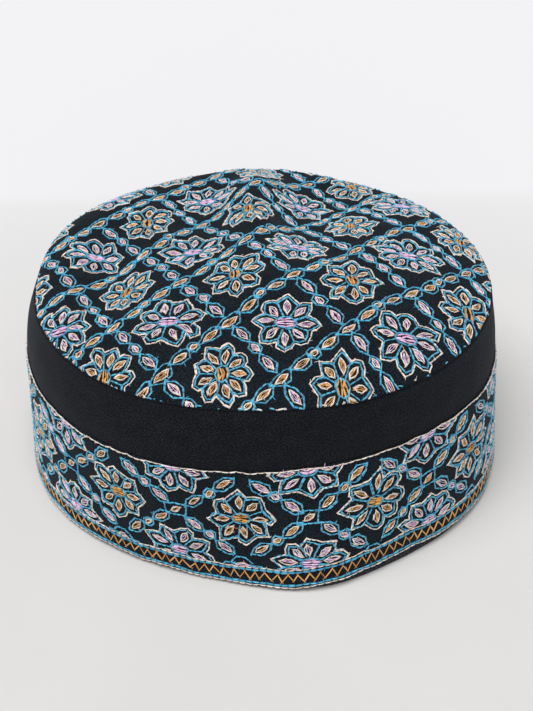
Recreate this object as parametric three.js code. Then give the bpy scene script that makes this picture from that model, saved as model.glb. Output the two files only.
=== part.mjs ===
// A soft embroidered pillbox cap that stands on its rim: a round domed crown, a plain wall and a deep outer cuff.
// Millimetres, +Z up, the front of the cap towards -Y, and the hollow for the head open at the bottom.
import * as THREE from "three";

// Driving sizes
const CLOTH = 2.2; // thickness of the wall and the crown, two layers sewn together
const CUFF_CLOTH = 1.6; // thickness of the embroidered cuff
const GAP = 0.3; // clearance between neighbouring pieces
const CUFF_TOP = 55; // height of the cuff's upper edge
const SEAM = 79; // height of the seam between wall and crown
const MEAN_RADIUS = 95; // radius that the profiles are drawn at before they follow the outline
const CROWN_DOME = 3; // gentle rise of the crown from its shoulder to its centre
const CROWN_SHOULDER = 7; // steep rise of the crown close to the seam
const SHOULDER_POWER = 8; // how tightly the shoulder turns over
const BAND_POWER = 2.2; // how late the plain band above the cuff turns in to the seam
const BAND_INSET = 0.5; // how far the plain band lies inside the cuff's outer face
const CORNER_DIRECTION = 282; // direction of the corner that folding the cap flat has left in its rim
const CORNER_RISE = 4.9; // how far that corner stands out at the rim
const CORNER_REACH = 10.2; // its reach to each side in degrees
const FLARE = 1.3; // how far the wall's lower edge stands out where the cuff's edge rides highest over it
const FLARE_TOP = 4; // height up to which the wall flares there
const FOOT_LOW = 1; // height of the cuff's lower edge where it lies lowest
const FOOT_HIGH = 4.7; // height of the cuff's lower edge where it rides highest
const FOLD_FADE = 6; // how quickly the crown's folds die out towards the seam
const SEGMENTS = 72; // steps around every piece
const CUFF_ROWS = 5; // steps up the cuff, and up the wall behind it

// Outer radius of the cap by direction, in degrees from +X, and the height of the cuff's lower edge there
const OUTLINE = [
  { direction: 0, rim: 97.8, cuffTop: 94.5, seam: 91.7, cuffFoot: 1 },
  { direction: 30, rim: 95.6, cuffTop: 93.8, seam: 88.1, cuffFoot: 1 },
  { direction: 60, rim: 94, cuffTop: 93.8, seam: 84.7, cuffFoot: 1 },
  { direction: 90, rim: 94.8, cuffTop: 94.2, seam: 87.8, cuffFoot: 1 },
  { direction: 120, rim: 95.6, cuffTop: 95, seam: 86.5, cuffFoot: 1 },
  { direction: 150, rim: 96.6, cuffTop: 95.6, seam: 90, cuffFoot: 1 },
  { direction: 180, rim: 96.6, cuffTop: 94.6, seam: 88.8, cuffFoot: 1 },
  { direction: 210, rim: 96.5, cuffTop: 95.8, seam: 91, cuffFoot: 1 },
  { direction: 240, rim: 93.2, cuffTop: 96.4, seam: 91.9, cuffFoot: 1 },
  { direction: 270, rim: 94.9, cuffTop: 94.2, seam: 90.2, cuffFoot: 0.7 },
  { direction: 300, rim: 97.7, cuffTop: 94.5, seam: 93.2, cuffFoot: 4.7 },
  { direction: 330, rim: 100.6, cuffTop: 97.3, seam: 93.6, cuffFoot: 2.2 },
];

// Soft folds of the crown: middle of each, how far it rises, its reach along and across, and its turn in degrees
const CROWN_FOLDS = [
  { name: "centre ridge", x: -2.2, y: 32, rise: 10.3, along: 26, across: 8.7, turn: 93 },
  { name: "back ridge", x: 4, y: 58, rise: 10.7, along: 15.6, across: 12.3, turn: 77 },
  { name: "back hollow", x: 9, y: 59, rise: -12.5, along: 24, across: 31, turn: -66 },
  { name: "left hollow", x: -60, y: -1.5, rise: -7.6, along: 29, across: 9.4, turn: 93 },
  { name: "right swell", x: 48, y: -42, rise: 4.9, along: 50, across: 16.6, turn: -95 },
  { name: "front swell", x: 7, y: -26, rise: 8.2, along: 22.7, across: 21, turn: -52 },
];

// Heights of the plain band of the wall over the cuff, and how far its face lies inside the outline there
const BAND_SECTIONS = [
  { height: CUFF_TOP + GAP, inset: CUFF_CLOTH + GAP },
  { height: CUFF_TOP + 1.3, inset: BAND_INSET },
  { height: CUFF_TOP + 5, inset: BAND_INSET },
  { height: 64, inset: BAND_INSET },
  { height: 69, inset: BAND_INSET },
  { height: 73, inset: BAND_INSET },
  { height: 76, inset: BAND_INSET / 2 },
  { height: SEAM - GAP / 2, inset: 0 },
];

// A column of the outline table at any direction, as one smooth closed curve through the table's rows
function around(column, angle) {
  const step = (2 * Math.PI) / OUTLINE.length;
  const place = (angle + 4 * Math.PI) / step;
  const row = Math.floor(place);
  const t = place - row;
  const [before, start, end, after] = [-1, 0, 1, 2].map(
    (k) => OUTLINE[(row + k + OUTLINE.length) % OUTLINE.length][column],
  );
  const slopeStart = (end - before) / 2;
  const slopeEnd = (after - start) / 2;
  const bend = 3 * (end - start) - 2 * slopeStart - slopeEnd;
  const twist = slopeStart + slopeEnd - 2 * (end - start);
  return start + slopeStart * t + bend * t ** 2 + twist * t ** 3;
}

// How far the corner in the rim stands out at a direction
function rimCorner(angle) {
  const turn = THREE.MathUtils.radToDeg(angle) - CORNER_DIRECTION;
  const away = THREE.MathUtils.euclideanModulo(turn + 180, 360) - 180;
  return CORNER_RISE * Math.exp(-((away / CORNER_REACH) ** 2) / 2);
}

// Outer radius of the cap at a direction and height: straight from rim to cuff top, then rounded in to the seam
function outerRadius(angle, height) {
  const cuffTop = around("cuffTop", angle);
  if (height <= CUFF_TOP) {
    return THREE.MathUtils.lerp(around("rim", angle) + rimCorner(angle), cuffTop, height / CUFF_TOP);
  }
  const share = Math.min((height - CUFF_TOP) / (SEAM - CUFF_TOP), 1);
  return THREE.MathUtils.lerp(cuffTop, around("seam", angle), share ** BAND_POWER);
}

// Height that the crown's folds add at a plan position
function foldHeight(x, y) {
  let height = 0;
  for (const fold of CROWN_FOLDS) {
    const turn = THREE.MathUtils.degToRad(fold.turn);
    const along = (x - fold.x) * Math.cos(turn) + (y - fold.y) * Math.sin(turn);
    const across = (y - fold.y) * Math.cos(turn) - (x - fold.x) * Math.sin(turn);
    height += fold.rise * Math.exp(-((along / fold.along) ** 2) / 2 - (across / fold.across) ** 2 / 2);
  }
  return height;
}

// Height of the crown's outer face above the seam, without its folds, at a share of its radius from centre to seam
function crownProfile(share) {
  return CROWN_DOME * (1 - share ** 2) + CROWN_SHOULDER * (1 - share ** SHOULDER_POWER);
}

// Revolves a closed profile of [radius, height] pairs about +Z, then moves each vertex by a rule given its direction
function revolve(profile, rule) {
  const points = profile.map(([radius, height]) => new THREE.Vector2(radius, height));
  const geometry = new THREE.LatheGeometry(points, SEGMENTS);
  geometry.rotateX(Math.PI / 2);
  const place = geometry.getAttribute("position");
  for (let i = 0; i < place.count; i += 1) {
    const radius = Math.hypot(place.getX(i), place.getY(i));
    const angle = Math.atan2(place.getY(i), place.getX(i));
    const moved = rule(radius, angle, place.getZ(i));
    place.setXYZ(i, moved.radius * Math.cos(angle), moved.radius * Math.sin(angle), moved.height);
  }
  geometry.computeVertexNormals();
  return geometry;
}

// How far the wall's lower edge stands out at a direction and height, under the part of the cuff that rides up
function wallFlare(angle, height) {
  const raised = (around("cuffFoot", angle) - FOOT_LOW) / (FOOT_HIGH - FOOT_LOW);
  return FLARE * Math.max(raised, 0) * Math.max(1 - height / FLARE_TOP, 0);
}

// The plain wall: full height, hollow, open at the bottom and under the crown
function wallGeometry() {
  const outer = [[MEAN_RADIUS - CUFF_CLOTH - GAP, 0], [MEAN_RADIUS - CUFF_CLOTH - GAP, FLARE_TOP]];
  for (let row = 1; row <= CUFF_ROWS; row += 1) {
    outer.push([MEAN_RADIUS - CUFF_CLOTH - GAP, (row / CUFF_ROWS) * CUFF_TOP]);
  }
  for (const { height, inset } of BAND_SECTIONS) {
    outer.push([MEAN_RADIUS - inset, height]);
  }
  const inner = outer.map(([radius, height]) => [radius - CLOTH, height]).reverse();
  const profile = [...outer, ...inner, outer[0]];
  return revolve(profile, (radius, angle, height) => ({
    radius: radius - MEAN_RADIUS + outerRadius(angle, height) + wallFlare(angle, height),
    height,
  }));
}

// The embroidered cuff, sewn round the outside of the wall, whose lower edge rides up a little at the front right
function cuffGeometry() {
  const soft = CUFF_CLOTH / 4;
  const outer = [[MEAN_RADIUS - soft, 0], [MEAN_RADIUS, soft]];
  const inner = [[MEAN_RADIUS - CUFF_CLOTH, 0]];
  for (let row = 1; row < CUFF_ROWS; row += 1) {
    const height = (row / CUFF_ROWS) * CUFF_TOP;
    outer.push([MEAN_RADIUS, height]);
    inner.push([MEAN_RADIUS - CUFF_CLOTH, height]);
  }
  outer.push([MEAN_RADIUS, CUFF_TOP - soft], [MEAN_RADIUS - soft, CUFF_TOP]);
  inner.push([MEAN_RADIUS - CUFF_CLOTH, CUFF_TOP]);
  const profile = [...outer, ...inner.reverse(), outer[0]];
  return revolve(profile, (radius, angle, height) => {
    const foot = around("cuffFoot", angle);
    const raised = foot + (height * (CUFF_TOP - foot)) / CUFF_TOP;
    return { radius: radius - MEAN_RADIUS + outerRadius(angle, raised), height: raised };
  });
}

// The embroidered crown: a domed sheet with its folds, whose flat edge rests on the top of the wall
function crownGeometry() {
  const outerRings = 24;
  const innerRings = 14;
  const underScale = (MEAN_RADIUS - CLOTH) / MEAN_RADIUS;
  const edge = SEAM + GAP / 2;
  const outer = [];
  for (let ring = 0; ring <= outerRings; ring += 1) {
    const share = Math.sin(((ring / outerRings) * Math.PI) / 2) ** 0.8;
    outer.push([share, edge + crownProfile(share)]);
  }
  const under = [];
  for (let ring = 0; ring <= innerRings; ring += 1) {
    const share = Math.sin(((ring / innerRings) * Math.PI) / 2) ** 0.8;
    under.push([share * underScale, edge + crownProfile(share) - CLOTH * (1 - share ** SHOULDER_POWER)]);
  }
  const profile = [...under, ...outer.reverse()];
  return revolve(profile, (share, angle, height) => {
    const radius = share * around("seam", angle);
    const fade = 1 - Math.min(share / underScale, 1) ** FOLD_FADE;
    const fold = fade * foldHeight(radius * Math.cos(angle), radius * Math.sin(angle));
    return { radius, height: height + fold };
  });
}

// Middle of the cap's plan, so that the cap can be centred over its origin
function planMiddle() {
  const plan = new THREE.Box2();
  for (let step = 0; step < SEGMENTS; step += 1) {
    const angle = (step / SEGMENTS) * 2 * Math.PI;
    for (let height = 0; height <= CUFF_TOP; height += CUFF_TOP / 5) {
      const radius = outerRadius(angle, Math.max(height, around("cuffFoot", angle)));
      plan.expandByPoint(new THREE.Vector2(radius * Math.cos(angle), radius * Math.sin(angle)));
    }
  }
  return plan.getCenter(new THREE.Vector2());
}

// Materials: near-black twill on every piece, a little bluer where embroidery covers it
const twill = () => new THREE.MeshStandardMaterial({ color: 0x1c1e24, roughness: 0.92, metalness: 0 });
const embroideredTwill = () => new THREE.MeshStandardMaterial({ color: 0x3c5f74, roughness: 0.85, metalness: 0 });

function piece(name, geometry, material) {
  const mesh = new THREE.Mesh(geometry, material);
  mesh.name = name;
  return mesh;
}

const middle = planMiddle();
const cap = new THREE.Group();
cap.add(piece("side_wall", wallGeometry(), twill()));
cap.add(piece("cuff", cuffGeometry(), embroideredTwill()));
cap.add(piece("crown_top", crownGeometry(), embroideredTwill()));
cap.position.set(-middle.x, -middle.y, 0);

export default cap;
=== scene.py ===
import math

import bpy
import numpy as np
from mathutils import Matrix, Vector


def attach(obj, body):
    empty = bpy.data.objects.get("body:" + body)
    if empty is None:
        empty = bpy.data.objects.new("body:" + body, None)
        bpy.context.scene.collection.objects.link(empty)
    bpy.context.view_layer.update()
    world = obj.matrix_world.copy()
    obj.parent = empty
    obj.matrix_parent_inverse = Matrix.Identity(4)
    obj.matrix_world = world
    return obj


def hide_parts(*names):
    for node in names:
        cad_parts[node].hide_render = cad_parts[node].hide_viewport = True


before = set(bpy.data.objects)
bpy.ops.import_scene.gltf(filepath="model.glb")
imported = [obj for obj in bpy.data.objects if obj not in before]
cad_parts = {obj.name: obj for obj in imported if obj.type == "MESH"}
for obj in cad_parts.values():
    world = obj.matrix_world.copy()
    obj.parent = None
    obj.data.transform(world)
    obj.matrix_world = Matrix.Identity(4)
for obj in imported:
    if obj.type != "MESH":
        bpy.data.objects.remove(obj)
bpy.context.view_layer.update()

# Everything is worked out in millimetres and written to the meshes in metres.
MM = 0.001

# Sizes of the cap, the same as those that its solids are made from
CLOTH = 2.2
CUFF_CLOTH = 1.6
GAP = 0.3
CUFF_TOP = 55
SEAM = 79
MEAN_RADIUS = 95
CROWN_DOME = 3
CROWN_SHOULDER = 7
SHOULDER_POWER = 8
BAND_POWER = 2.2
BAND_INSET = 0.5
FOLD_FADE = 6

# Outer radius of the cap by direction, in degrees from +X, and the height of the cuff's lower edge there
OUTLINE_COLUMNS = ("direction", "rim", "cuff_top", "seam", "cuff_foot")
OUTLINE_ROWS = (
    (0, 97.8, 94.5, 91.7, 1),
    (30, 95.6, 93.8, 88.1, 1),
    (60, 94, 93.8, 84.7, 1),
    (90, 94.8, 94.2, 87.8, 1),
    (120, 95.6, 95, 86.5, 1),
    (150, 96.6, 95.6, 90, 1),
    (180, 96.6, 94.6, 88.8, 1),
    (210, 96.5, 95.8, 91, 1),
    (240, 93.2, 96.4, 91.9, 1),
    (270, 94.9, 94.2, 90.2, 0.7),
    (300, 97.7, 94.5, 93.2, 3.7),
    (330, 100.6, 97.3, 93.6, 1.9),
)
# Steps in degrees, and number of heights, that the plan's middle is worked out from
PLAN_STEP = 5
PLAN_HEIGHTS = 6

# The corner that folding the cap flat has left in the rim: direction and reach in degrees, and rise
RIM_CORNER_DIRECTION = 282
RIM_CORNER_RISE = 4.9
RIM_CORNER_REACH = 10.2

# Where the cuff's lower edge rides up, the wall's edge below it stands out by this much, up to this height
FLARE = 1.3
FLARE_TOP = 4
FOOT_LOW = 1
FOOT_HIGH = 3.7

# Soft folds of the crown: name, x, y, rise, reach along and across, and turn in degrees
CROWN_FOLDS = (
    ("centre ridge", -2.2, 32, 10.3, 26, 8.7, 93),
    ("back ridge", 4, 58, 10.7, 15.6, 12.3, 77),
    ("back hollow", 9, 59, -12.5, 24, 31, -66),
    ("left hollow", -60, -1.5, -7.6, 29, 9.4, 93),
    ("right swell", 48, -42, 4.9, 50, 16.6, -95),
    ("front swell", 7, -26, 8.2, 22.7, 21, -52),
)

# Waves of the wall and cuff: rise, number round the cap, turn at the start, and lean with the height
BAND_WAVES = (
    (0.175, 5, 0.5, 1 / 24),
    (0.125, 9, 2, -1 / 15),
    (0.05, 23, 0, 1 / 9),
    (0.035, 37, 0, -1 / 7),
)
# Rise of each of the crown's small waves
CROWN_RIPPLE_RISE = 0.1

# The photograph's camera: frame height and focal length in pixels, angles in degrees, and its target
PHOTO_HEIGHT = 711
FOCAL_PIXELS = 1500
CAMERA_ELEVATION = 35.5
CAMERA_ROLL = -0.78
CAMERA_DISTANCE = 624.2
CAMERA_TARGET = (2.46, 0, 39.1)

# Embroidery lattice on the flat cloth: flowers on its points, and chains of leaves between them.
# The crown's flat cloth reaches along its curve, out to a seam of this mean radius.
MEAN_SEAM_RADIUS = 89.7
CROWN_STEPS = np.array([(23.71, 22.63), (18.85, -27.89)])
CROWN_ORIGIN = np.array([-13.76, -75.1])
CROWN_CELLS = range(-8, 9)
# Where the crown's sewing strays from it: place (u, v), reach round it, and shift (u, v)
CROWN_STRAYS = (
    (-70, 9, 14, 3.7, 1.1),
    (-28, 3, 14, 1.9, -3.5),
    (15, -2, 13, 0.2, -3.9),
    (-33, -47, 13, -1, 1.9),
    (52, -58, 13, -1.9, 1.7),
)
CUFF_MIDDLE = 33.8
CUFF_FLOWER_SPACING = 49.75
CUFF_HALF_RISE = 20.6
CUFF_START = -1.65
CUFF_LENGTH = 2 * math.pi * MEAN_RADIUS
CUFF_CELLS = (-2, -1, 0, 1, 2)
CROSSING_TOLERANCE = 1

# Flowers, by place and colour: half their spread across and up the flat cloth,
# and the length, width and turn in degrees of the eye
FLOWERS = {
    ("crown", "orange"): (10.2, 12.9, 7.4, 4.9, 90),
    ("crown", "pink"): (11.8, 12.2, 7.9, 5.4, 0),
    ("cuff", "orange"): (12.6, 12.4, 7.0, 5.0, 0),
    ("cuff", "pink"): (13.2, 11.6, 7.2, 5.0, 0),
}
PETALS = 8
NINTH_PETAL_CHANCE = 0.15
# Places in a petal as shares of the way from the flower's middle to its tip
SPOKE_START = 0.27
VALLEY = 0.71
PETAL_LEAF = (0.37, 0.85)
PETAL_LEAF_WIDTH = 2.35
# The cream line round a flower: how far out it is, and for what share of the petals it follows the shoulders
FLOWER_RIM = 1.25
RIM_SHOULDERS = {"crown": 0.85, "cuff": 0.4}
KNOT_CHANCE = 0.22
KNOT_LENGTH = (0.35, 0.65)
# The eye: corners of its oval, places of its strands, and how far they keep from its ends and sides
EYE_CORNERS = 8
EYE_STRANDS = (-0.62, -0.22, 0.2, 0.6)
EYE_MARGINS = (0.4, 0.2)

# The cream ring of a small leaf, in shares of half its length and width: along, across, shift with its lean
LEAF_RING = (
    (-1, 0, 0),
    (-0.3, 1, 1),
    (0.34, 0.92, 1),
    (1, 0, 0),
    (0.28, -1, -1),
    (-0.34, -0.92, -1),
)
LEAF_LEAN = 0.12
# Strands that fill the leaf: spacing by their number, reach, and bow at the ends and in the middle
LEAF_STRAND_SPACING = {2: 0.36, 3: 0.28}
LEAF_STRAND_REACH = (0.6, 0.9)
STRAND_CLOSE = 0.35
STRAND_BOW = 1.1
WIDE_LEAF = 2.2
THIRD_STRAND_CHANCE = 0.6

# The two sides of the chains' leaves, as shares of half their length and width
LEAF_SIDES = {
    "bulging": (
        ((-1, 0), (-0.12, 0.6), (0.66, 0.62), (1, 0.05)),
        ((-1, 0), (-0.3, -1.3), (0.42, -1.25), (1, 0.05)),
    ),
    "even": (
        ((-1, 0), (-0.45, 0.85), (0.38, 1.0), (1, 0)),
        ((-1, 0), (-0.42, -1.0), (0.5, -0.9), (1, 0)),
    ),
}
BULGE_SHIFT = 0.3

# Leaves of the chains: place along the step to the next crossing, sides, size, and size of the leaf inside
CHAINS = {
    ("crown", "orange"): (
        (0.0, "bulging", 11.2, 5.4, 7.0, 2.4),
        (0.3, "bulging", 10.4, 5.2, 6.8, 2.3),
        (0.49, "even", 5.4, 4.6, 3.8, 2.0),
        (0.71, "bulging", 10.4, 5.2, 6.8, 2.3),
    ),
    ("crown", "pink"): (
        (0.26, "even", 10.2, 5.0, 6.8, 2.4),
        (0.52, "even", 6.8, 4.4, 4.4, 2.1),
        (0.78, "even", 10.2, 5.0, 6.8, 2.4),
    ),
    ("cuff", "orange"): (
        (0.29, "even", 9.6, 5.0, 6.4, 2.3),
        (0.52, "even", 5.2, 4.2, 3.6, 1.9),
        (0.75, "even", 9.6, 5.0, 6.4, 2.3),
    ),
    ("cuff", "pink"): (
        (0.29, "even", 9.6, 5.0, 6.8, 2.4),
        (0.51, "even", 5.2, 4.4, 3.8, 2.0),
        (0.74, "even", 9.6, 5.0, 6.8, 2.4),
    ),
}
# Where the two lines round a chain's leaves start and end, as places along the step
CHAIN_TAILS = {
    ("crown", "orange"): ((), (0.83,)),
    ("crown", "pink"): ((0.07,), (0.93,)),
    ("cuff", "orange"): ((0.13,), (0.87,)),
    ("cuff", "pink"): ((0.13,), (0.87,)),
}
# The cuff's crossings: a blue box round a small slanting leaf
BOX_SIZE = (7.2, 5.6)
BOX_LEAF_SIZE = (4.6, 2.1)
BOX_LEAF_TURN = 0.6
# Over the border, in place of the box: a blue arch, and the leaf that the border cuts
ARCH = ((-4.3, -1.8), (-2.2, 0.9), (1.2, 1.0), (4.3, -1.9))
ARCH_LEAF_SIZE = (5.0, 2.2)
ARCH_LEAF_DROP = 2.7

# Cuff border, measured up from the cuff's lower edge: its lines, and the zigzag between them
BORDER_TOP = 9.15
BORDER_LINES = (
    ("cream", 0.95),
    ("blue", 1.95),
    ("blue", 2.2),
    ("blue", 8.0),
    ("blue", 8.25),
    ("cream", BORDER_TOP),
)
ZIGZAG_LOW = 3.75
ZIGZAG_HIGH = 7.05
ZIGZAG_PITCH = 3.95
ZIGZAG_THICKNESS = 0.86
ZIGZAG_OVERSHOOT = (0.08, 0.4)
LATTICE_CLEARANCE = 0.2
# Sway of the border and of the line at the cuff's upper edge, with the columns of BAND_WAVES
BORDER_WAVES = ((0.175, 19, 1, 0), (0.14, 31, 0, 0), (0.0875, 53, 2, 0))
EDGE_LINE_WAVES = ((0.225, 7, 1, 0), (0.1575, 17, 0, 0), (0.09, 41, 2, 0))
EDGE_LINE_DROP = 0.45

# Kinds of line: how far their points wander, their stitch, and their share of the thread's thickness
LINES = {
    "petal": (0.14, 2.1, 1.0),
    "spoke": (0.1, 2.1, 1.0),
    "rim": (0.15, 2.1, 1.0),
    "chain": (0.16, 2.1, 1.0),
    "crossing": (0.25, 2.1, 1.0),
    "eye": (0.13, 2.4, 1.0),
    "eye strand": (0.3, 2.6, 1.2),
    "leaf": (0.13, 2.6, 0.84),
    "leaf strand": (0.18, 2.6, 0.57),
}
ROUND_STITCH = 2.6
BORDER_WANDER = 0.16
EDGE_LINE_WANDER = 0.2
ZIGZAG_WANDER = 0.25
WANDER_WITHIN_SIDE = 0.6

# How freely the pattern varies: shifts in millimetres, turns in radians or petals, growth as shares
FLOWER_SHIFT = 0.3
FLOWER_TURN = 0.1
FLOWER_GROWTH = (0.96, 1.04)
PETAL_TURN = 0.08
TIP_GROWTH = (0.9, 1.08)
VALLEY_GROWTH = (0.92, 1.08)
SHOULDER_PLACE = (0.5, 0.62)
SHOULDER_SWELL = (-0.03, 0.05)
PETAL_LEAF_TURN = 0.08
PETAL_LEAF_GROWTH = (0.88, 1.12)
EYE_TURN = 0.12
CHAIN_SHIFT = 0.22
CHAIN_TURN = 0.05
CHAIN_GROWTH = (0.94, 1.06)
CROSSING_SHIFT = 0.2
CROSSING_TURN = 0.06
CROSSING_GROWTH = (0.92, 1.08)

# Stitches: the threads' radii, overlap, overshoot at corners, and going over a side twice
THREAD_RADIUS = {"blue": 0.35, "cream": 0.32, "orange": 0.31, "pink": 0.31}
SHORTEST_STITCH = 0.35
STITCH_OVERLAP = 0.12
CORNER_OVERSHOOT = 0.4
SECOND_PASS_CHANCE = 0.26
SECOND_PASS_SHIFT = 0.24
SECOND_PASS_THICKNESS = 0.8
# Loose fibres: the share of stitches with one, and its length, thickness and lift
FLUFF_CHANCE = 0.1
FLUFF_LENGTH = (0.7, 2.2)
FLUFF_THICKNESS = 0.3
FLUFF_LIFT = (1.32, 2.2)
FLUFF_LOWEST = 0.5
# Rings of a stitch: place along it, thickness and lift in thread radii, and brightness: a painted shade at
# its ends, where it sinks into the cloth, and a painted highlight at its middle
STITCH_RINGS = ((0, 0.6, -0.1, 0.15), (0.28, 0.96, 0.7, 0.9), (0.72, 1.0, 0.7, 1.0), (1, 0.6, -0.1, 0.15))
STITCH_SIDES = 4
# How much the stitches differ, as shares, and how far along its twist a stitch may start
THICKNESS_SPREAD = (0.75, 1.2)
LIFT_SPREAD = (0.7, 1.3)
BRIGHTNESS_SPREAD = (0.25, 1)
TWIST_SPREAD = (0, 40)
SEED = 11

# The crown's stitches are cut this far in from the seam, at a place found by halving them this often
SEAM_ALLOWANCE = 0.4
TRIM_STEPS = 8
# Short ends of cut stitches along the crown's seam: how many, and how far in from it
SEAM_ENDS = 110
SEAM_END_PLACE = (0.5, 1.2)
SEAM_END_LENGTH = (0.5, 2.2)
SEAM_END_LEAN = 0.25
SEAM_END_THICKNESS = 0.9
SEAM_END_BLUE_SHARE = 0.75

# Fineness of the cloth meshes, the directions of their points, and those round a folded edge
CLOTH_SIDES = 240
CROWN_ROWS = 72
WALL_ROWS = 14
BAND_ROWS = 32
CUFF_ROWS = 30
ANGLES = np.linspace(0, 2 * np.pi, CLOTH_SIDES, endpoint=False)
EDGE_TURNS = np.linspace(0, np.pi, 7)[1:-1]
# The wall's rounded edge, how its band swells over the cuff and closes on the seam, and its rows
WALL_CORNER = 1.1
BAND_PUFF = 0.2
BAND_CLOSE = 72
BAND_START = 0.04
BAND_CROWDING = 1.6

# Twill: dark and light colour, share of lint, and whether its lower edge is painted paler, as wear and as
# painted light on the shade under the cuff
TWILLS = {
    "embroidered_twill": ((0.002, 0.004, 0.0055), (0.018, 0.026, 0.035), 0.06, False),
    "plain_twill": ((0.0023, 0.0028, 0.0037), (0.0172, 0.0192, 0.0248), 0.028, True),
}
TWILL_TURN = 0.56
TWILL_RIBS = 0.33
# Contrast of the cloth's yarns, ribs, uneven tone and specks
YARN_STOPS = ((0.4, (0.05, 0.05, 0.05)), (0.64, (1, 1, 1)))
RIB_STOPS = ((0.0, (0.4, 0.4, 0.4)), (1.0, (1, 1, 1)))
CLOUD_STOPS = ((0.35, (0.4, 0.4, 0.42)), (0.65, (1, 1, 1)))
SPECK_STOPS = ((0.74, (0, 0, 0)), (0.8, (1, 1, 1)))
TWILL_FINISH = {
    "Roughness": 0.93,
    "Specular IOR Level": 0.1,
    "Sheen Weight": 0.06,
    "Sheen Roughness": 0.5,
    "Sheen Tint": (0.6, 0.68, 0.8, 1),
}
# The wall's lower edge is painted paler, partly as worn cloth and partly as painted light that lifts the
# shade under the cuff: colour added, and up to what height
EDGE_WEAR_AND_PAINTED_LIGHT = (0.05, 0.053, 0.058)
EDGE_WEAR_AND_PAINTED_LIGHT_HEIGHT = 7

# Dark and light colour of each thread, mixed by each stitch's tone with its painted shade and highlight, and
# the painted shade between its plies
THREAD_COLOURS = {
    "blue": ((0.015, 0.17, 0.32), (0.1, 0.58, 0.84)),
    "cream": ((0.57, 0.45, 0.365), (1, 0.925, 0.85)),
    "orange": ((0.42, 0.15, 0.02), (0.97, 0.52, 0.15)),
    "pink": ((0.67, 0.32, 0.57), (1, 0.74, 0.96)),
}
PAINTED_PLY_SHADE_STOPS = ((0.0, (0.62, 0.62, 0.62)), (0.55, (1, 1, 1)))
THREAD_FINISH = {"Roughness": 0.5, "Specular IOR Level": 0.45, "Sheen Weight": 0.25, "Sheen Roughness": 0.4}

# The floor turns into the backdrop: distances behind the cap's middle, and shares of the change
STAGE_STOPS = ((50, 0), (186, 0.58), (195, 0.62), (211, 1))
STAGE_REACH = 8000
FLOOR_STOPS = ((0.3, (0.645, 0.638, 0.626)), (0.7, (0.675, 0.668, 0.655)))
BACKDROP_COLOUR = (0.55, 0.55, 0.56)
BACKDROP_GLOW = (1, 0.99, 1)
FLOOR_FINISH = {"Emission Strength": 0.245, "Roughness": 0.95, "Specular IOR Level": 0.1}

# Lights: direction to each, strength, spread in degrees, and colour
LIGHTS = {
    "key": ((-0.3, -0.48, 1.7), 2.7, 45, (1, 0.99, 0.98)),
    "fill": ((0.05, -2.2, 0.9), 0.76, 40, (1, 0.975, 0.96)),
}
SURROUND_COLOUR = (0.92, 0.95, 1.0, 1)
SURROUND_STRENGTH = 0.3


# The cap's surfaces

def around(name, angle):
    """A column of the outline at any direction, as a smooth closed curve through its rows."""
    values = np.array([row[OUTLINE_COLUMNS.index(name)] for row in OUTLINE_ROWS], float)
    count = len(values)
    place = np.mod(angle, 2 * np.pi) / (2 * np.pi / count)
    row = np.floor(place).astype(int)
    t = place - row
    before, start, end, after = (values[(row + k) % count] for k in (-1, 0, 1, 2))
    slope_start = (end - before) / 2
    slope_end = (after - start) / 2
    bend = 3 * (end - start) - 2 * slope_start - slope_end
    twist = slope_start + slope_end - 2 * (end - start)
    return start + slope_start * t + bend * t**2 + twist * t**3


def rim_corner(angle):
    """How far the corner in the rim stands out at a direction."""
    away = np.mod(np.degrees(angle) - RIM_CORNER_DIRECTION + 180, 360) - 180
    return RIM_CORNER_RISE * np.exp(-((away / RIM_CORNER_REACH) ** 2) / 2)


def outer_radius(angle, height):
    """Outer radius: straight from the rim to the cuff's top, then rounded in to the seam."""
    rim, cuff_top, seam = (around(name, angle) for name in ("rim", "cuff_top", "seam"))
    rim = rim + rim_corner(angle)
    low = rim + (cuff_top - rim) * height / CUFF_TOP
    share = np.clip((height - CUFF_TOP) / (SEAM - CUFF_TOP), 0, 1)
    high = cuff_top + (seam - cuff_top) * share**BAND_POWER
    return np.where(height <= CUFF_TOP, low, high)


def wall_flare(angle, height):
    """How far the wall's lower edge stands out, under the part of the cuff that rides up."""
    raised = (around("cuff_foot", angle) - FOOT_LOW) / (FOOT_HIGH - FOOT_LOW)
    return FLARE * np.maximum(raised, 0) * np.maximum(1 - height / FLARE_TOP, 0)


def fold_height(x, y):
    """Height that the crown's folds add at a plan position."""
    height = np.zeros_like(x)
    for _, fold_x, fold_y, rise, reach_along, reach_across, turn in CROWN_FOLDS:
        turn = math.radians(turn)
        along = (x - fold_x) * math.cos(turn) + (y - fold_y) * math.sin(turn)
        across = (y - fold_y) * math.cos(turn) - (x - fold_x) * math.sin(turn)
        height = height + rise * np.exp(-((along / reach_along) ** 2 + (across / reach_across) ** 2) / 2)
    return height


def crown_profile(share):
    """Height of the crown above the seam, without its folds, at a share of its radius."""
    return CROWN_DOME * (1 - share**2) + CROWN_SHOULDER * (1 - share**SHOULDER_POWER)


def plan_middle():
    """Middle of the cap's plan, which stands over the origin."""
    angle = np.radians(np.arange(0, 360, PLAN_STEP))
    height = np.linspace(0, CUFF_TOP, PLAN_HEIGHTS)[:, None]
    radius = outer_radius(angle, np.maximum(height, around("cuff_foot", angle)))
    plan = radius * np.array([np.cos(angle), np.sin(angle), 0 * angle])[:, None]
    return (plan.min(axis=(1, 2)) + plan.max(axis=(1, 2))) / 2


MIDDLE = plan_middle()
SHARES = np.linspace(0, 1, 400)
STEPS = np.hypot(np.diff(SHARES) * MEAN_SEAM_RADIUS, np.diff(crown_profile(SHARES)))
ARC = np.concatenate([[0], np.cumsum(STEPS)])
CROWN_REACH = ARC[-1]


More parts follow.
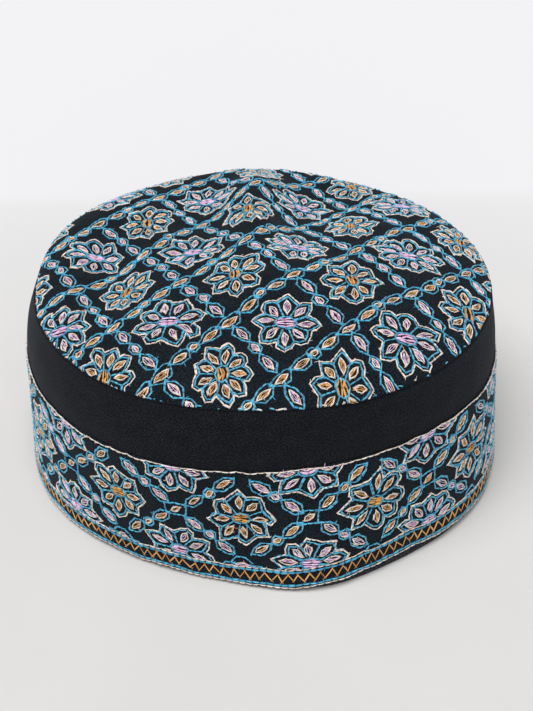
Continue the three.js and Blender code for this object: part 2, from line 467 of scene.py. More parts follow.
def crown_point(share, angle):
    """Points of the crown's outer face, from the share of its radius and the direction."""
    radius = share * around("seam", angle)
    x = radius * np.cos(angle)
    y = radius * np.sin(angle)
    fade = 1 - np.clip(share, 0, 1) ** FOLD_FADE
    height = SEAM + GAP / 2 + crown_profile(share) + fade * fold_height(x, y)
    return np.stack([x, y, height], -1)


def crown_surface(u, v):
    """Points of the crown's outer face, from the place on its flat cloth."""
    reach = np.hypot(u, v)
    share = np.interp(reach, ARC, SHARES)
    points = crown_point(share, np.arctan2(v, u))
    points[..., 2] += crown_ripple(u, v) * (1 - share**FOLD_FADE)
    return points


def ripples(count, shortest, longest, seed):
    """Directions, lengths and phases of small waves in the cloth."""
    random = np.random.default_rng(seed)
    turn = random.uniform(0, 2 * np.pi, count)
    number = 2 * np.pi / random.uniform(shortest, longest, count)
    return np.stack([number * np.cos(turn), number * np.sin(turn), random.uniform(0, 2 * np.pi, count)], -1)


CROWN_RIPPLES = ripples(count=14, shortest=9, longest=26, seed=3)


def crown_ripple(u, v):
    """Small soft waves of the crown's cloth."""
    total = sum(np.sin(u * wave_u + v * wave_v + phase) for wave_u, wave_v, phase in CROWN_RIPPLES)
    return CROWN_RIPPLE_RISE * total


def waves(rows, turn, height=0.0):
    """Waves added up, which close on themselves round the cap."""
    return sum(rise * np.sin(number * turn + start + height * lean) for rise, number, start, lean in rows)


def standing(radius, angle, height):
    """Points by their distance from the cap's middle, direction and height."""
    return np.stack([radius * np.cos(angle), radius * np.sin(angle), height], -1)


def cuff_surface(u, v):
    """Points of the cuff's outer face, from the distance round it and the height."""
    angle = u / MEAN_RADIUS
    return standing(outer_radius(angle, v) + waves(BAND_WAVES, angle, v), angle, v)


# Embroidery drawn on flat cloth, as stitches from point to point

class Embroidery:
    """Stitches by thread: two ends on the flat cloth, and shares of the usual thickness and lift."""

    def __init__(self, place, surface, seed):
        self.place = place
        self.surface = surface
        self.random = np.random.default_rng(seed)
        self.stitches = {thread: [] for thread in THREAD_RADIUS}

    def stitch(self, thread, start, end, thickness=1.0, lift=1.0):
        """Adds one stitch."""
        self.stitches[thread].append((*start, *end, thickness, lift))

    def line(self, thread, kind, points, closed=False):
        """Sews along a line of points, and goes over some of its sides twice."""
        wander, stitch, thickness = LINES[kind]
        points = points + self.random.normal(0, wander, np.shape(points))
        if closed:
            points = np.vstack([points, points[:1]])
        for start, end in zip(points[:-1], points[1:]):
            self.side(thread, start, end, stitch, wander, thickness)
            if self.random.uniform() < SECOND_PASS_CHANCE:
                shift = self.random.normal(0, SECOND_PASS_SHIFT, 2)
                thinner = thickness * SECOND_PASS_THICKNESS
                self.side(thread, start + shift, end + shift, stitch, wander, thinner)

    def side(self, thread, start, end, stitch, wander, thickness):
        """Sews from point to point in whole stitches that overlap a little."""
        length = np.hypot(*(end - start))
        count = max(1, round(length / stitch))
        path = start + (end - start) * np.linspace(0, 1, count + 1)[:, None]
        path[1:-1] += self.random.normal(0, wander * WANDER_WITHIN_SIDE, path[1:-1].shape)
        ahead = (end - start) / max(length, 1e-6)
        path[0] -= ahead * self.random.uniform(0, CORNER_OVERSHOOT)
        path[-1] += ahead * self.random.uniform(0, CORNER_OVERSHOOT)
        for a, b in zip(path[:-1], path[1:]):
            self.stitch(thread, a - ahead * STITCH_OVERLAP, b + ahead * STITCH_OVERLAP, thickness)

    def stray(self, strays):
        """Shifts the stitches near some places, as hand-guided sewing strays from its pattern."""
        for thread, rows in self.stitches.items():
            rows = np.array(rows)
            for ends in (rows[:, 0:2], rows[:, 2:4]):
                shift = np.zeros_like(ends)
                for u, v, reach, shift_u, shift_v in strays:
                    away = np.hypot(ends[:, 0] - u, ends[:, 1] - v) / reach
                    shift += np.exp(-(away**2) / 2)[:, None] * np.array([shift_u, shift_v])
                ends += shift
            self.stitches[thread] = list(rows)

    def fluff(self):
        """Adds loose fibres that start on some of the stitches and stand off the cloth."""
        for thread, rows in self.stitches.items():
            rows = np.array(rows)
            rows = rows[self.random.uniform(size=len(rows)) < FLUFF_CHANCE]
            count = len(rows)
            start = rows[:, 0:2] + (rows[:, 2:4] - rows[:, 0:2]) * self.random.uniform(0, 1, (count, 1))
            turn = self.random.uniform(0, 2 * np.pi, count)
            reach = self.random.uniform(*FLUFF_LENGTH, (count, 1))
            end = start + reach * np.stack([np.cos(turn), np.sin(turn)], -1)
            if self.place == "cuff":
                end[:, 1] = np.maximum(end[:, 1], FLUFF_LOWEST)
            lift = self.random.uniform(*FLUFF_LIFT, count)
            fibres = np.column_stack([start, end, np.full(count, FLUFF_THICKNESS), lift])
            self.stitches[thread] += list(fibres)

    def trim(self, inside):
        """Cuts every stitch off at the edge of a field, and drops those outside it."""
        for thread, rows in self.stitches.items():
            rows = np.array(rows)
            start_within = inside(rows[:, 0], rows[:, 1])
            kept = start_within | inside(rows[:, 2], rows[:, 3])
            rows, start_within = rows[kept], start_within[kept, None]
            inner = np.where(start_within, rows[:, 0:2], rows[:, 2:4])
            outer = np.where(start_within, rows[:, 2:4], rows[:, 0:2])
            low = np.zeros(len(rows))
            high = np.ones(len(rows))
            for _ in range(TRIM_STEPS):
                middle = (low + high) / 2
                point = inner + (outer - inner) * middle[:, None]
                within = inside(point[:, 0], point[:, 1])
                low = np.where(within, middle, low)
                high = np.where(within, high, middle)
            end = inner + (outer - inner) * high[:, None]
            rows = np.hstack([inner, end, rows[:, 4:]])
            long_enough = np.hypot(*(end - inner).T) > SHORTEST_STITCH
            self.stitches[thread] = list(rows[long_enough])


def heading(turn):
    """The unit vector of a direction on the flat cloth."""
    return np.array([math.cos(turn), math.sin(turn)])


def turned(points, angle, centre):
    """Points turned about their own origin and put at a centre."""
    return np.array(points) @ [heading(angle), heading(angle + np.pi / 2)] + centre


def sew_leaf(work, colour, centre, angle, length, width):
    """The small filled leaf: a pointed ring of cream round strands of colour."""
    random = work.random
    lean = random.uniform(-LEAF_LEAN, LEAF_LEAN)
    half = length / 2
    side = width / 2
    ring = [(half * (along + lean * shift), side * across) for along, across, shift in LEAF_RING]
    work.line("cream", "leaf", turned(ring, angle, centre), closed=True)
    strands = 3 if width > WIDE_LEAF and random.uniform() < THIRD_STRAND_CHANCE else 2
    for k in range(strands):
        bow = (k - (strands - 1) / 2) * width * LEAF_STRAND_SPACING[strands]
        reach = half * random.uniform(*LEAF_STRAND_REACH)
        strand = [(-reach, bow * STRAND_CLOSE), (0, bow * STRAND_BOW), (reach, bow * STRAND_CLOSE)]
        work.line(colour, "leaf strand", turned(strand, angle, centre))


def sew_chain(work, colour, start, step):
    """Leaves from one crossing to the next, inside two lines that cross between them."""
    random = work.random
    run_angle = math.atan2(step[1], step[0])
    first, last = ([start + step * place for place in places] for places in CHAIN_TAILS[work.place, colour])
    lines = [list(first), list(first)]
    leaves = enumerate(CHAINS[work.place, colour])
    for number, (place, sides, length, width, leaf_length, leaf_width) in leaves:
        centre = start + step * place + random.normal(0, CHAIN_SHIFT, 2)
        angle = run_angle + random.normal(0, CHAIN_TURN)
        grow = random.uniform(*CHAIN_GROWTH)
        half = np.array([length, width]) / 2 * grow
        leaf_centre = centre
        if sides == "bulging":
            leaf_centre = turned([(0, -BULGE_SHIFT * half[1])], angle, centre)[0]
        for line, side in zip(lines, LEAF_SIDES[sides][:: 1 if number % 2 else -1]):
            line += list(turned(np.array(side) * half, angle, centre))
        sew_leaf(work, colour, leaf_centre, angle, leaf_length * grow, leaf_width * grow)
    for line in lines:
        work.line("blue", "chain", line + last)


def sew_box(work, centre):
    """A crossing of the cuff's chains."""
    centre = centre + work.random.normal(0, CROSSING_SHIFT, 2)
    width, height = np.array(BOX_SIZE) / 2 * work.random.uniform(*CROSSING_GROWTH)
    corners = [(-width, height), (-width, -height), (width, -height), (width, height)]
    turn = work.random.normal(0, CROSSING_TURN)
    work.line("blue", "crossing", turned(corners, turn, centre), closed=True)
    sew_leaf(work, "orange", centre, BOX_LEAF_TURN, *BOX_LEAF_SIZE)


def sew_arch(work, centre):
    """What stands over the border where two of the cuff's chains meet it."""
    centre = centre + work.random.normal(0, CROSSING_SHIFT, 2)
    work.line("blue", "crossing", turned(ARCH, work.random.normal(0, CROSSING_TURN), centre))
    sew_leaf(work, "pink", centre - (0, ARCH_LEAF_DROP), 0.0, *ARCH_LEAF_SIZE)


def sew_eye(work, colour, centre, length, width, angle):
    """The flower's eye: an oval of blue filled with strands of colour."""
    spin = np.linspace(0, 2 * np.pi, EYE_CORNERS, endpoint=False)
    oval = np.stack([length / 2 * np.cos(spin), width / 2 * np.sin(spin)], -1)
    work.line("blue", "eye", turned(oval, angle, centre), closed=True)
    for place in EYE_STRANDS:
        reach = (length / 2 - EYE_MARGINS[0]) * math.sqrt(1 - place**2)
        across = place * (width / 2 - EYE_MARGINS[1])
        strand = [(-reach, across), (0, across * STRAND_BOW), (reach, across)]
        work.line(colour, "eye strand", turned(strand, angle, centre))


def petal_point(centre, spread, share, turn):
    """A point of a flower, at a share of the way from its middle to the tips."""
    return centre + share * spread * heading(turn)


def sew_petal(work, colour, centre, spread, tip, valley_before, valley_after):
    """A petal: its arch, one side and leaf. Gives the points of the cream line outside it."""
    random = work.random
    tip_share, tip_turn = tip
    shoulder = np.pi / PETALS * random.uniform(*SHOULDER_PLACE)
    swell = (tip_share + VALLEY) / 2 + random.uniform(*SHOULDER_SWELL)
    arch = [(swell, tip_turn - shoulder), tip, (swell, tip_turn + shoulder)]
    corners = [valley_before, *arch, valley_after]
    work.line("blue", "petal", [petal_point(centre, spread, *corner) for corner in corners])
    valley_share, valley_turn = valley_after
    spoke = [petal_point(centre, spread, share, valley_turn) for share in (SPOKE_START, valley_share)]
    work.line("blue", "spoke", spoke)
    foot, end = (petal_point(centre, spread, share * tip_share, tip_turn) for share in PETAL_LEAF)
    run = end - foot
    leaf_turn = math.atan2(run[1], run[0]) + random.normal(0, PETAL_LEAF_TURN)
    width = PETAL_LEAF_WIDTH * random.uniform(*PETAL_LEAF_GROWTH)
    sew_leaf(work, colour, (foot + end) / 2, leaf_turn, np.hypot(*run), width)
    rim = FLOWER_RIM / spread.mean()
    followed = corners[1:] if random.uniform() < RIM_SHOULDERS[work.place] else [tip, valley_after]
    return [petal_point(centre, spread, share + rim, turn) for share, turn in followed]


def sew_flower(work, colour, centre):
    """A flower: an eye, petals that share their sides, and a cream line round it all."""
    half_width, half_height, eye_length, eye_width, eye_turn = FLOWERS[work.place, colour]
    random = work.random
    centre = centre + random.normal(0, FLOWER_SHIFT, 2)
    spread = np.array([half_width, half_height]) * random.uniform(*FLOWER_GROWTH)
    petals = PETALS + (random.uniform() < NINTH_PETAL_CHANCE)
    sector = 2 * np.pi / petals
    first = random.normal(0, FLOWER_TURN)
    tips = [
        (random.uniform(*TIP_GROWTH), first + sector * (k + random.normal(0, PETAL_TURN)))
        for k in range(petals)
    ]
    valleys = [
        (VALLEY * random.uniform(*VALLEY_GROWTH), first + sector * (k + 0.5 + random.normal(0, PETAL_TURN)))
        for k in range(petals)
    ]
    eye_angle = math.radians(eye_turn) + random.normal(0, EYE_TURN)
    sew_eye(work, colour, centre, eye_length, eye_width, eye_angle)
    rim = []
    for k in range(petals):
        rim += sew_petal(work, colour, centre, spread, tips[k], valleys[k - 1], valleys[k])
    work.line("cream", "rim", rim, closed=True)
    for corner in rim:
        if random.uniform() < KNOT_CHANCE:
            turn = random.uniform(0, np.pi)
            knot = random.uniform(*KNOT_LENGTH) * heading(turn)
            work.stitch("cream", corner - knot, corner + knot)


def sew_lattice(work, origin, steps, cells):
    """Flowers in two colours by turns, and chains of leaves between them."""
    for cell in cells:
        point = origin + cell @ steps
        node = point + steps.sum(axis=0) / 2
        sew_flower(work, "pink" if sum(cell) % 2 else "orange", point)
        if work.place == "cuff" and abs(node[1] - CUFF_MIDDLE) < CROSSING_TOLERANCE:
            sew_box(work, node)
        elif work.place == "cuff" and node[1] < CUFF_MIDDLE:
            sew_arch(work, node)
        for colour, step in zip(("orange", "pink"), steps):
            sew_chain(work, colour, node, step)


def sew_seam_ends(work):
    """Short ends of blue and cream stitches that the seam has cut, along its edge."""
    random = work.random
    for _ in range(SEAM_ENDS):
        turn = random.uniform(0, 2 * np.pi)
        middle = (CROWN_REACH - random.uniform(*SEAM_END_PLACE)) * heading(turn)
        lean = turn + np.pi / 2 + random.normal(0, SEAM_END_LEAN)
        half = random.uniform(*SEAM_END_LENGTH) / 2 * heading(lean)
        thread = "blue" if random.uniform() < SEAM_END_BLUE_SHARE else "cream"
        work.stitch(thread, middle - half, middle + half, SEAM_END_THICKNESS)


def crown_embroidery():
    """The lattice over the whole crown, cut off at the seam."""
    work = Embroidery("crown", crown_surface, SEED)
    reach = CROWN_REACH + np.hypot(*CROWN_STEPS[0])
    cells = [np.array([i, j]) for i in CROWN_CELLS for j in CROWN_CELLS]
    cells = [cell for cell in cells if np.hypot(*(CROWN_ORIGIN + cell @ CROWN_STEPS)) < reach]
    sew_lattice(work, CROWN_ORIGIN, CROWN_STEPS, cells)
    work.stray(CROWN_STRAYS)
    work.trim(lambda u, v: np.hypot(u, v) < CROWN_REACH - SEAM_ALLOWANCE)
    sew_seam_ends(work)
    work.fluff()
    return work


def border_foot(u):
    """Height that the border is measured from: the cuff's lower edge, with a slight sway."""
    turn = u / MEAN_RADIUS
    return around("cuff_foot", turn) + waves(BORDER_WAVES, turn)


def edge_line_height(u):
    """Height of the line that holds down the cuff's upper edge, which wavers a little."""
    return CUFF_TOP - EDGE_LINE_DROP + waves(EDGE_LINE_WAVES, u / MEAN_RADIUS)


def sew_round(work, thread, height, wander, rise=0.0):
    """A closed line of stitches round the cuff, at a height that changes on the way."""
    count = round(CUFF_LENGTH / ROUND_STITCH)
    u = np.arange(count + 1) * CUFF_LENGTH / count
    v = height(u) + rise
    v[:-1] += work.random.normal(0, wander, count)
    v[-1] = v[0]
    for k in range(count):
        work.stitch(thread, (u[k] - STITCH_OVERLAP, v[k]), (u[k + 1] + STITCH_OVERLAP, v[k + 1]))


def sew_border(work):
    """Blue and cream lines on both sides of an orange zigzag, along the cuff's lower edge."""
    for thread, rise in BORDER_LINES:
        sew_round(work, thread, border_foot, BORDER_WANDER, rise)
    count = 2 * round(CUFF_LENGTH / ZIGZAG_PITCH)
    place = np.arange(count + 1)
    u = place * CUFF_LENGTH / count
    v = border_foot(u) + np.where(place % 2, ZIGZAG_HIGH, ZIGZAG_LOW)
    points = np.stack([u, v], -1) + work.random.normal(0, ZIGZAG_WANDER, (count + 1, 2))
    for start, end in zip(points[:-1], points[1:]):
        before, after = work.random.uniform(*ZIGZAG_OVERSHOOT, 2)
        run = end - start
        work.stitch("orange", start - run * before, end + run * after, ZIGZAG_THICKNESS)


def within_cuff(u, v):
    """Whether places on the cuff are between its border and its upper edge."""
    foot = border_foot(u) + BORDER_TOP + LATTICE_CLEARANCE
    return (v > foot) & (v < CUFF_TOP - EDGE_LINE_DROP)


def cuff_embroidery():
    """The same lattice round the cuff, over its border."""
    work = Embroidery("cuff", cuff_surface, SEED + 1)
    columns = 2 * round(CUFF_LENGTH / CUFF_FLOWER_SPACING)
    half = CUFF_LENGTH / columns
    origin = np.array([CUFF_START * MEAN_RADIUS, CUFF_MIDDLE])
    steps = np.array([(half, CUFF_HALF_RISE), (half, -CUFF_HALF_RISE)])
    cells = [
        np.array([(across + up) // 2, (across - up) // 2])
        for across in range(columns)
        for up in CUFF_CELLS
        if (across + up) % 2 == 0
    ]
    sew_lattice(work, origin, steps, cells)
    work.trim(within_cuff)
    sew_border(work)
    sew_round(work, "cream", edge_line_height, EDGE_LINE_WANDER)
    work.fluff()
    return work


# Meshes

def placed(name, data):
    """An object with a name, put in the scene."""
    thing = bpy.data.objects.new(name, data)
    bpy.context.scene.collection.objects.link(thing)
    return thing


def mesh_object(name, points, faces, label, values):
    """A smooth mesh from points in millimetres, groups of faces, and a vector attribute."""
    mesh = bpy.data.meshes.new(name)
    points = (points - MIDDLE) * MM
    mesh.vertices.add(len(points))
    mesh.vertices.foreach_set("co", points.astype(np.float32).ravel())
    sizes = np.concatenate([np.full(len(group), group.shape[1]) for group in faces])
    corners = np.concatenate([group.ravel() for group in faces])
    mesh.loops.add(len(corners))
    mesh.loops.foreach_set("vertex_index", corners.astype(np.int32))
    mesh.polygons.add(len(sizes))
    starts = np.cumsum(sizes) - sizes
    mesh.polygons.foreach_set("loop_start", starts.astype(np.int32))
    mesh.polygons.foreach_set("use_smooth", np.ones(len(sizes), bool))
    mesh.update(calc_edges=True)
    mesh.validate()
    attribute = mesh.attributes.new(label, "FLOAT_VECTOR", "POINT")
    attribute.data.foreach_set("vector", values.astype(np.float32).ravel())
    return placed(name, mesh)


def unit(vectors):
    """Vectors of length one."""
    return vectors / np.linalg.norm(vectors, axis=-1, keepdims=True)


def surface_normals(surface, u, v):
    """Outward unit normals of a surface by small steps on its flat cloth."""
    step = 0.4
    across = surface(u + step, v) - surface(u - step, v)
    up = surface(u, v + step) - surface(u, v - step)
    return unit(np.cross(across, up))


def bands(number):
    """Faces between neighbouring rings of point numbers."""
    following = np.roll(number, -1, axis=-1)
    corners = [number[..., :-1, :], following[..., :-1, :], following[..., 1:, :], number[..., 1:, :]]
    return np.stack(corners, -1).reshape(-1, 4)


def thread_piece(name, work, thread):
    """A thread's stitches as short closed tubes, sunk at their ends and raised at their middles."""
    rows = np.array(work.stitches[thread])
    pairs = rows[:, :4].reshape(-1, 2, 2)
    count = len(pairs)
    random = np.random.default_rng(SEED + count)
    place, thickness, rise, painted_shade_and_highlight = (np.array(values)[None, :, None] for values in zip(*STITCH_RINGS))
    path = pairs[:, None, 0] * (1 - place) + pairs[:, None, 1] * place
    u, v = path[..., 0], path[..., 1]
    centre = work.surface(u, v)
    normal = surface_normals(work.surface, u, v)
    side = unit(np.cross(normal, unit(centre[:, -1:] - centre[:, :1])))
    thickness_share, lift_share = (rows[:, k].reshape(-1, 1, 1) * THREAD_RADIUS[thread] for k in (4, 5))
    thick = thickness * thickness_share * random.uniform(*THICKNESS_SPREAD, (count, 1, 1))
    lift = rise * lift_share * random.uniform(*LIFT_SPREAD, (count, 1, 1))
    turn = np.linspace(0, 2 * np.pi, STITCH_SIDES, endpoint=False)
    circle = np.cos(turn)[:, None] * side[:, :, None] + np.sin(turn)[:, None] * normal[:, :, None]
    points = (centre + normal * lift)[:, :, None] + circle * thick[:, :, :, None]
    number = np.arange(points.size // 3).reshape(points.shape[:3])
    length = np.linalg.norm(pairs[:, 1] - pairs[:, 0], axis=-1)[:, None, None]
    strand = np.zeros(points.shape)
    strand[..., 0] = place * length + random.uniform(*TWIST_SPREAD, (count, 1, 1))
    strand[..., 1] = np.minimum(turn, 2 * np.pi - turn) / np.pi
    # Z: each stitch's random tone, times a painted shade at its ends and a painted highlight at its middle
    strand[..., 2] = painted_shade_and_highlight * random.uniform(*BRIGHTNESS_SPREAD, (count, 1, 1))
    faces = [bands(number), number[:, 0, ::-1], number[:, -1]]
    return mesh_object(name, points.reshape(-1, 3), faces, "strand", strand)


def ring_shell(name, rings, poles=False):
    """A closed shell through rings of points and their places on the flat cloth.
    The last ring joins the first, or both ends close on a pole."""
    rows = np.array([points for points, u, v in rings])
    cloth = np.array([np.stack([u, v, 0 * u], -1) for points, u, v in rings])
    count, sides = rows.shape[:2]
    if not poles:
        number = np.arange(count * sides).reshape(count, sides)
        faces = [bands(np.vstack([number, number[:1]]))]
        return mesh_object(name, rows.reshape(-1, 3), faces, "cloth", cloth)
    rows, cloth = (np.vstack([part[:1, 0], *part[1:-1], part[-1:, 0]]) for part in (rows, cloth))
    number = 1 + np.arange((count - 2) * sides).reshape(count - 2, sides)
    following = np.roll(number, -1, axis=1)
    first = np.stack([np.zeros(sides, int), following[0], number[0]], -1)
    last = np.stack([np.full(sides, len(rows) - 1), number[-1], following[-1]], -1)
    return mesh_object(name, rows, [bands(number), first, last], "cloth", cloth)


def crown_piece():
    """The crown's cloth: a plain face below, and an outer face with small ripples."""
    below = np.linspace(0, 1, CROWN_ROWS // 2)
    rings = []
    for number, share in enumerate([*below, *np.linspace(1, 0, CROWN_ROWS)]):
        reach = np.interp(share, SHARES, ARC)
        u, v = reach * np.cos(ANGLES), reach * np.sin(ANGLES)
        points = crown_surface(u, v)
        if number < len(below):
            points = crown_point(np.full(CLOTH_SIDES, share), ANGLES)
            points[:, :2] *= 1 - CLOTH / MEAN_RADIUS
            points[:, 2] -= CLOTH * (1 - share**SHOULDER_POWER)
        rings.append((points, u, v))
    return ring_shell("crown_cloth", rings, poles=True)


def wall_section():
    """Heights and insets of the wall's outer face, from the rim up to the seam."""
    covered = CUFF_CLOTH + GAP
    section = [(height, covered) for height in np.linspace(WALL_CORNER, CUFF_TOP, WALL_ROWS)]
    shares = np.linspace(BAND_START, 1, BAND_ROWS) ** BAND_CROWDING
    for height in CUFF_TOP + (SEAM - GAP / 2 - CUFF_TOP) * shares:
        swell = math.exp(-((height - CUFF_TOP) / BAND_PUFF) ** 2)
        closing = max(0, (height - BAND_CLOSE) / (SEAM - BAND_CLOSE)) ** 2
        section.append((height, (BAND_INSET + (covered - BAND_INSET) * swell) * (1 - closing)))
    return section


def wall_piece():
    """The plain wall, whose band swells over the cuff and closes on the seam."""
    section = wall_section()
    outer = [(height, inset, 1) for height, inset in section]
    inner = [(height, inset + CLOTH, 0) for height, inset in reversed(section)]
    foot = []
    for turn in EDGE_TURNS:
        reach = CUFF_CLOTH + GAP + CLOTH / 2 + math.cos(turn) * CLOTH / 2
        foot.append((WALL_CORNER * (1 - math.sin(turn)), reach, 1))
    rings = []
    for height, inset, rippled in outer + inner + foot:
        level = np.full(CLOTH_SIDES, height)
        radius = outer_radius(ANGLES, level) - inset + wall_flare(ANGLES, level)
        radius = radius + rippled * waves(BAND_WAVES, ANGLES, level)
        rings.append((standing(radius, ANGLES, level), ANGLES * MEAN_RADIUS, level))
    return ring_shell("wall_cloth", rings[::-1])


def cuff_piece():
    """The cuff's cloth, with soft folded edges above and below."""
    corner = CUFF_CLOTH / 2
    edge = corner / CUFF_TOP
    outer = [(share, 0) for share in np.linspace(edge, 1 - edge, CUFF_ROWS)]
    top = [(1 - edge * (1 - math.sin(turn)), corner * (1 - math.cos(turn))) for turn in EDGE_TURNS]
    inner = [(share, CUFF_CLOTH) for share, _ in reversed(outer)]
    bottom = [(edge * (1 - math.sin(turn)), corner * (1 + math.cos(turn))) for turn in EDGE_TURNS]
    foot = around("cuff_foot", ANGLES)
    u = ANGLES * MEAN_RADIUS
    rings = []
    for share, inset in outer + top + inner + bottom:
        height = foot + share * (CUFF_TOP - foot)
        points = cuff_surface(u, height)
        scale = 1 - inset / np.hypot(points[:, 0], points[:, 1])
        points[:, :2] *= scale[:, None]
        rings.append((points, u, height))
    return ring_shell("cuff_cloth", rings[::-1])


# Materials

def new_material(name):
    """A material with an empty node tree, its shader and its output."""
    material = bpy.data.materials.new(name)
    material.use_nodes = True
    tree = material.node_tree
    tree.nodes.clear()
    shader = tree.nodes.new("ShaderNodeBsdfPrincipled")
    output = tree.nodes.new("ShaderNodeOutputMaterial")
    tree.links.new(shader.outputs[0], output.inputs[0])
    return material, tree, shader


def set_inputs(node, values):
    """Sets inputs of a node by name."""
    for name, value in values.items():
        node.inputs[name].default_value = value


def node_on(tree, kind, vector, **values):
    """A node that reads a vector, with its other inputs set by name."""
    node = tree.nodes.new(kind)
    tree.links.new(vector, node.inputs["Vector"])
    set_inputs(node, values)
    return node


def attribute_node(tree, name):
    """The node that reads one of the meshes' vector attributes."""
    node = tree.nodes.new("ShaderNodeAttribute")
    node.attribute_name = name
    return node.outputs["Vector"]


def mapped(tree, vector, scale=(1, 1, 1), turn=0.0):
    """A vector turned about Z and scaled."""
    return node_on(tree, "ShaderNodeMapping", vector, Rotation=(0, 0, turn), Scale=scale).outputs[0]


def part_of(tree, vector, axis):
    """A vector's part along one axis."""
    return node_on(tree, "ShaderNodeSeparateXYZ", vector).outputs[axis]


def texture(tree, kind, vector, **values):
    """The value of a texture over a vector, with its inputs set by name."""
    return node_on(tree, "ShaderNodeTex" + kind, vector, **values).outputs["Fac"]


def ramp(tree, value, stops):
    """A value turned into colours through (place, colour) stops."""
    node = tree.nodes.new("ShaderNodeValToRGB")
    elements = node.color_ramp.elements
    while len(elements) < len(stops):
        elements.new(0.5)
    for element, (place, colour) in zip(elements, stops):
        element.position = place
        element.color = (*colour, 1)
    tree.links.new(value, node.inputs["Fac"])
    return node.outputs["Color"]


def feed(tree, socket, value):
    """Links a value to a socket, or sets the socket to a fixed number or colour."""
    if isinstance(value, bpy.types.NodeSocket):
        tree.links.new(value, socket)
    elif isinstance(value, tuple):
        socket.default_value = (*value, 1)
    else:
        socket.default_value = value


def mixed(tree, kind, factor, a, b):
    """Two colours blended one way, by a share."""
    node = tree.nodes.new("ShaderNodeMix")
    node.data_type = "RGBA"
    node.blend_type = kind
    for place, value in ((0, factor), (6, a), (7, b)):
        feed(tree, node.inputs[place], value)
    return node.outputs[2]


def product(tree, a, b):
    """Two values multiplied."""
    node = tree.nodes.new("ShaderNodeMath")
    node.operation = "MULTIPLY"
    for place, value in enumerate((a, b)):
        feed(tree, node.inputs[place], value)
    return node.outputs[0]


def bump(tree, shader, height, strength, distance):
    """Relief on the shader's normal."""
    node = tree.nodes.new("ShaderNodeBump")
    set_inputs(node, {"Strength": strength, "Distance": distance})
    tree.links.new(height, node.inputs["Height"])
    tree.links.new(node.outputs[0], shader.inputs["Normal"])


def twill_material(name, dark, light, lint, wear_and_painted_light):
    """Near-black twill: a rib broken into yarns, uneven tone, specks of lint, and a lower edge painted paler,
    partly as wear and partly as painted light on its shade.
    """
    material, tree, shader = new_material(name)
    cloth = attribute_node(tree, "cloth")
    ribbed = mapped(tree, cloth, turn=TWILL_TURN)
    rib = ramp(tree, texture(tree, "Wave", ribbed, Scale=TWILL_RIBS, Distortion=2, Detail=2), RIB_STOPS)
    crossed = mapped(tree, cloth, scale=(1.3, 1.7, 1))
    yarn = ramp(tree, texture(tree, "Noise", crossed, Scale=1, Detail=3), YARN_STOPS)
    weave = product(tree, rib, yarn)
    tone = ramp(tree, weave, ((0.05, dark), (0.85, light)))
    cloudy = ramp(tree, texture(tree, "Noise", cloth, Scale=0.16, Detail=4), CLOUD_STOPS)
    shaded = mixed(tree, "MULTIPLY", 0.5, tone, cloudy)
    scattered = mapped(tree, cloth, scale=(1, 0.45, 1), turn=0.6)
    specks = ramp(tree, texture(tree, "Noise", scattered, Scale=1.6, Detail=1), SPECK_STOPS)
    colour = mixed(tree, "SCREEN", lint, shaded, specks)
    # Painted paler towards the lower edge: worn cloth, and painted light that lifts the shade under the cuff.
    if wear_and_painted_light:
        height = product(tree, part_of(tree, cloth, "Y"), 1 / EDGE_WEAR_AND_PAINTED_LIGHT_HEIGHT)
        edge = ramp(tree, height, ((0.35, EDGE_WEAR_AND_PAINTED_LIGHT), (1, (0, 0, 0))))
        colour = mixed(tree, "ADD", yarn, colour, edge)
    tree.links.new(colour, shader.inputs["Base Color"])
    set_inputs(shader, TWILL_FINISH)
    bump(tree, shader, weave, strength=0.55, distance=0.00022)
    return material


def thread_material(name, dark, light):
    """Embroidery thread: two plies that twist with painted shade between them, a tone for each stitch with a
    painted shade at its ends and a painted highlight at its middle, and a soft sheen.
    """
    material, tree, shader = new_material(name)
    strand = attribute_node(tree, "strand")
    wound = mapped(tree, strand, scale=(1, 0.55, 0), turn=-0.5)
    twist = texture(tree, "Wave", wound, Scale=0.55, Distortion=0, Detail=0)
    # The stitch's tone, which holds a painted shade at its ends and a painted highlight at its middle
    tone = mixed(tree, "MIX", part_of(tree, strand, "Z"), dark, light)
    # Painted shade in the grooves between the plies
    colour = mixed(tree, "MULTIPLY", 0.75, tone, ramp(tree, twist, PAINTED_PLY_SHADE_STOPS))
    tree.links.new(colour, shader.inputs["Base Color"])
    set_inputs(shader, THREAD_FINISH)
    bump(tree, shader, twist, strength=0.5, distance=0.00012)
    return material


def floor_material():
    """A plain pale floor, faintly uneven, which turns softly into the backdrop."""
    material, tree, shader = new_material("pale_floor")
    place = tree.nodes.new("ShaderNodeTexCoord").outputs["Object"]
    reach = STAGE_STOPS[-1][0]
    back = product(tree, part_of(tree, place, "Y"), 1 / (reach * MM))
    share = ramp(tree, back, [(distance / reach, (part, part, part)) for distance, part in STAGE_STOPS])
    floor = ramp(tree, texture(tree, "Noise", place, Scale=9, Detail=3), FLOOR_STOPS)
    tree.links.new(mixed(tree, "MIX", share, floor, BACKDROP_COLOUR), shader.inputs["Base Color"])
    tree.links.new(mixed(tree, "MIX", share, (0, 0, 0), BACKDROP_GLOW), shader.inputs["Emission Color"])
    set_inputs(shader, FLOOR_FINISH)
    return material


# Camera, floor and light

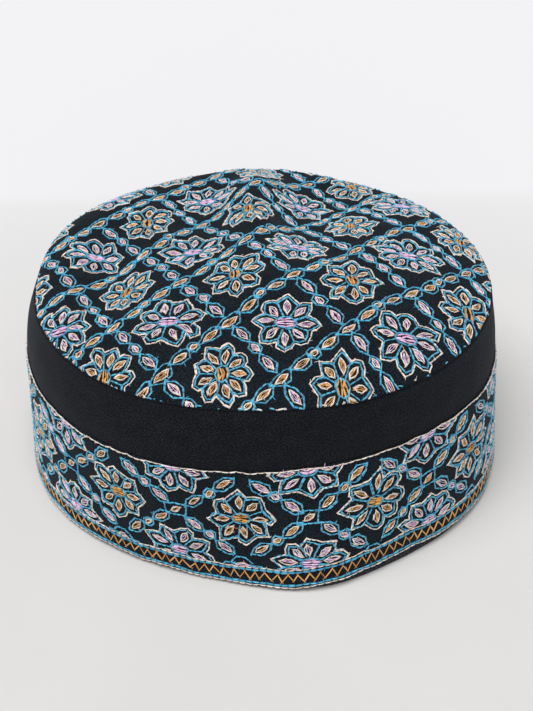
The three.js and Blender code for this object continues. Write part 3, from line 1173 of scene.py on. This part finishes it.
def make_camera():
    """The photograph's camera."""
    turn = Matrix.Rotation(math.radians(90 - CAMERA_ELEVATION), 3, "X")
    turn = turn @ Matrix.Rotation(math.radians(CAMERA_ROLL), 3, "Z")
    place = Vector(CAMERA_TARGET) - Vector(MIDDLE) + turn.col[2] * CAMERA_DISTANCE
    data = bpy.data.cameras.new("camera")
    data.lens = FOCAL_PIXELS / PHOTO_HEIGHT * data.sensor_width
    data.clip_start = 0.01
    camera = placed("camera", data)
    camera.matrix_world = Matrix.Translation(place * MM) @ turn.to_4x4()
    bpy.context.scene.camera = camera


def make_floor():
    """The floor that the cap stands on, which goes on into the backdrop."""
    half = STAGE_REACH * MM
    corners = [(-half, -half, 0), (half, -half, 0), (half, half, 0), (-half, half, 0)]
    mesh = bpy.data.meshes.new("floor")
    mesh.from_pydata(corners, [], [(0, 1, 2, 3)])
    mesh.materials.append(floor_material())
    floor = placed("floor", mesh)


def soft_light(name, direction, strength, spread, colour):
    """A wide soft light, so far off that it lights the floor evenly."""
    data = bpy.data.lights.new(name, "SUN")
    data.energy = strength
    data.angle = math.radians(spread)
    data.color = colour
    placed(name, data).rotation_euler = (-Vector(direction)).to_track_quat("-Z", "Y").to_euler()


def make_lights():
    """Even studio light: two soft lights and a pale surround."""
    world = bpy.data.worlds.new("surround")
    world.use_nodes = True
    set_inputs(world.node_tree.nodes["Background"], {"Color": SURROUND_COLOUR, "Strength": SURROUND_STRENGTH})
    bpy.context.scene.world = world
    for name, light in LIGHTS.items():
        soft_light(name, *light)


def dress(piece, node, material):
    """Gives a piece its material, named for its slot, and its body, and hides the solid that it stands for,
    if any.
    """
    piece.data.materials.append(material)
    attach(piece, "root")
    if node:
        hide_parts(node)


def build_cap():
    """Cloth and embroidery of the whole cap."""
    twills = {slot: twill_material(slot, *look) for slot, look in TWILLS.items()}
    dress(crown_piece(), "crown_top", twills["embroidered_twill"])
    dress(wall_piece(), "side_wall", twills["plain_twill"])
    dress(cuff_piece(), "cuff", twills["embroidered_twill"])
    sewn = (crown_embroidery(), cuff_embroidery())
    for thread, (dark, light) in THREAD_COLOURS.items():
        slot = thread + "_thread"
        material = thread_material(slot, dark, light)
        for work in sewn:
            piece = thread_piece(work.place + "_" + thread + "_stitches", work, thread)
            dress(piece, None, material)


make_camera()
make_floor()
make_lights()
bpy.context.scene.view_settings.view_transform = "Standard"
build_cap()
